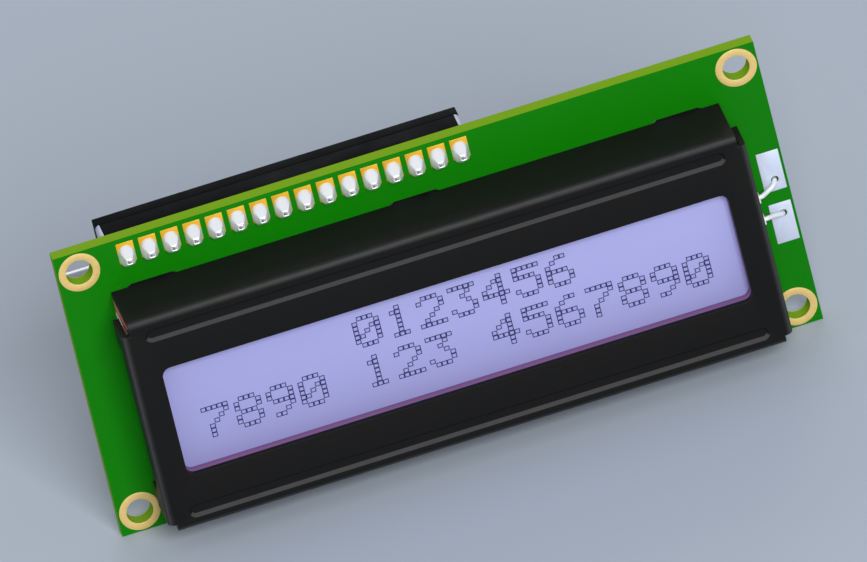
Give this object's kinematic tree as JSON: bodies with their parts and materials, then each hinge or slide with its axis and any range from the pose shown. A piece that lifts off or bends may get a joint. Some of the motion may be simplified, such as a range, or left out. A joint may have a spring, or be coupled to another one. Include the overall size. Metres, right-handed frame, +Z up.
{
  "type": "character lcd module",
  "caption": "Character display module: green circuit board, black metal bezel round a wide window, and a pin socket behind the board's upper edge.",
  "frame": {"origin": "centre of the circuit board's front face, which is also the centre of its four mounting holes", "axes": "+X along the display's rows to the reader's right, +Z up the board towards the contact row, -Y out of the board's front face towards the reader"},
  "size_m": [0.08, 0.0154, 0.036],
  "materials": {
    "board_green": "glossy green solder mask over glass-fibre board",
    "ring_copper": "bare plated copper",
    "gold_pad": "gold plating",
    "solder": "bright solder",
    "contact_metal": "plated spring metal",
    "socket_black": "moulded glass-filled plastic",
    "end_cap_grey": "moulded pale plastic",
    "bezel_black": "satin black coating on folded steel sheet",
    "gasket_mauve": "die-cut foam film",
    "polarizer": "smooth lilac film",
    "cell_glass": "thin clear glass",
    "seal_resin": "cured epoxy",
    "liquid_crystal": "thin clouded fluid layer",
    "elastomer_pink": "layered silicone rubber",
    "diffuser_white": "frosted film",
    "guide_clear": "clear acrylic",
    "reflector_white": "white film",
    "case_white": "moulded white plastic",
    "led_board": "white masked strip board",
    "led_body": "moulded body with yellow phosphor",
    "tinned_wire": "bright tinned copper",
    "tinned_pad": "smooth tinned copper",
    "silicon": "polished silicon",
    "blob_resin": "cured black resin",
    "resistor_black": "glazed resistor face",
    "capacitor_tan": "fired ceramic",
    "chip_end": "tinned ends",
    "can_metal": "bright drawn metal",
    "plug_glass": "dark sealing glass"
  },
  "bodies": {
    "root": {"circuit_board": "board_green", "mounting_rings_front": "ring_copper", "mounting_rings_back": "ring_copper", "pin_pads_front": "gold_pad", "pin_pads_back": "gold_pad", "solder_joints": "solder", "socket_contacts": "contact_metal", "socket_base": "socket_black", "socket_cover": "socket_black", "socket_end_caps": "end_cap_grey", "bezel": "bezel_black", "window_gasket": "gasket_mauve", "front_polarizer": "polarizer", "front_glass": "cell_glass", "perimeter_seal": "seal_resin", "liquid_crystal": "liquid_crystal", "rear_glass": "cell_glass", "rear_polarizer": "polarizer", "upper_elastomer_strip": "elastomer_pink", "lower_elastomer_strip": "elastomer_pink", "diffuser_film": "diffuser_white", "light_guide": "guide_clear", "reflector_sheet": "reflector_white", "backlight_case": "case_white", "led_strip": "led_board", "backlight_leds": "led_body", "upper_backlight_lead": "tinned_wire", "lower_backlight_lead": "tinned_wire", "backlight_lead_pads": "tinned_pad", "backlight_lead_solder": "solder", "controller_die": "silicon", "driver_die": "silicon", "controller_blob": "blob_resin", "driver_blob": "blob_resin", "resistor_bodies": "resistor_black", "resistor_ends": "chip_end", "capacitor_bodies": "capacitor_tan", "capacitor_ends": "chip_end", "crystal_can": "can_metal", "crystal_plug": "plug_glass", "crystal_leads": "tinned_wire"}
  },
  "joints": []
}
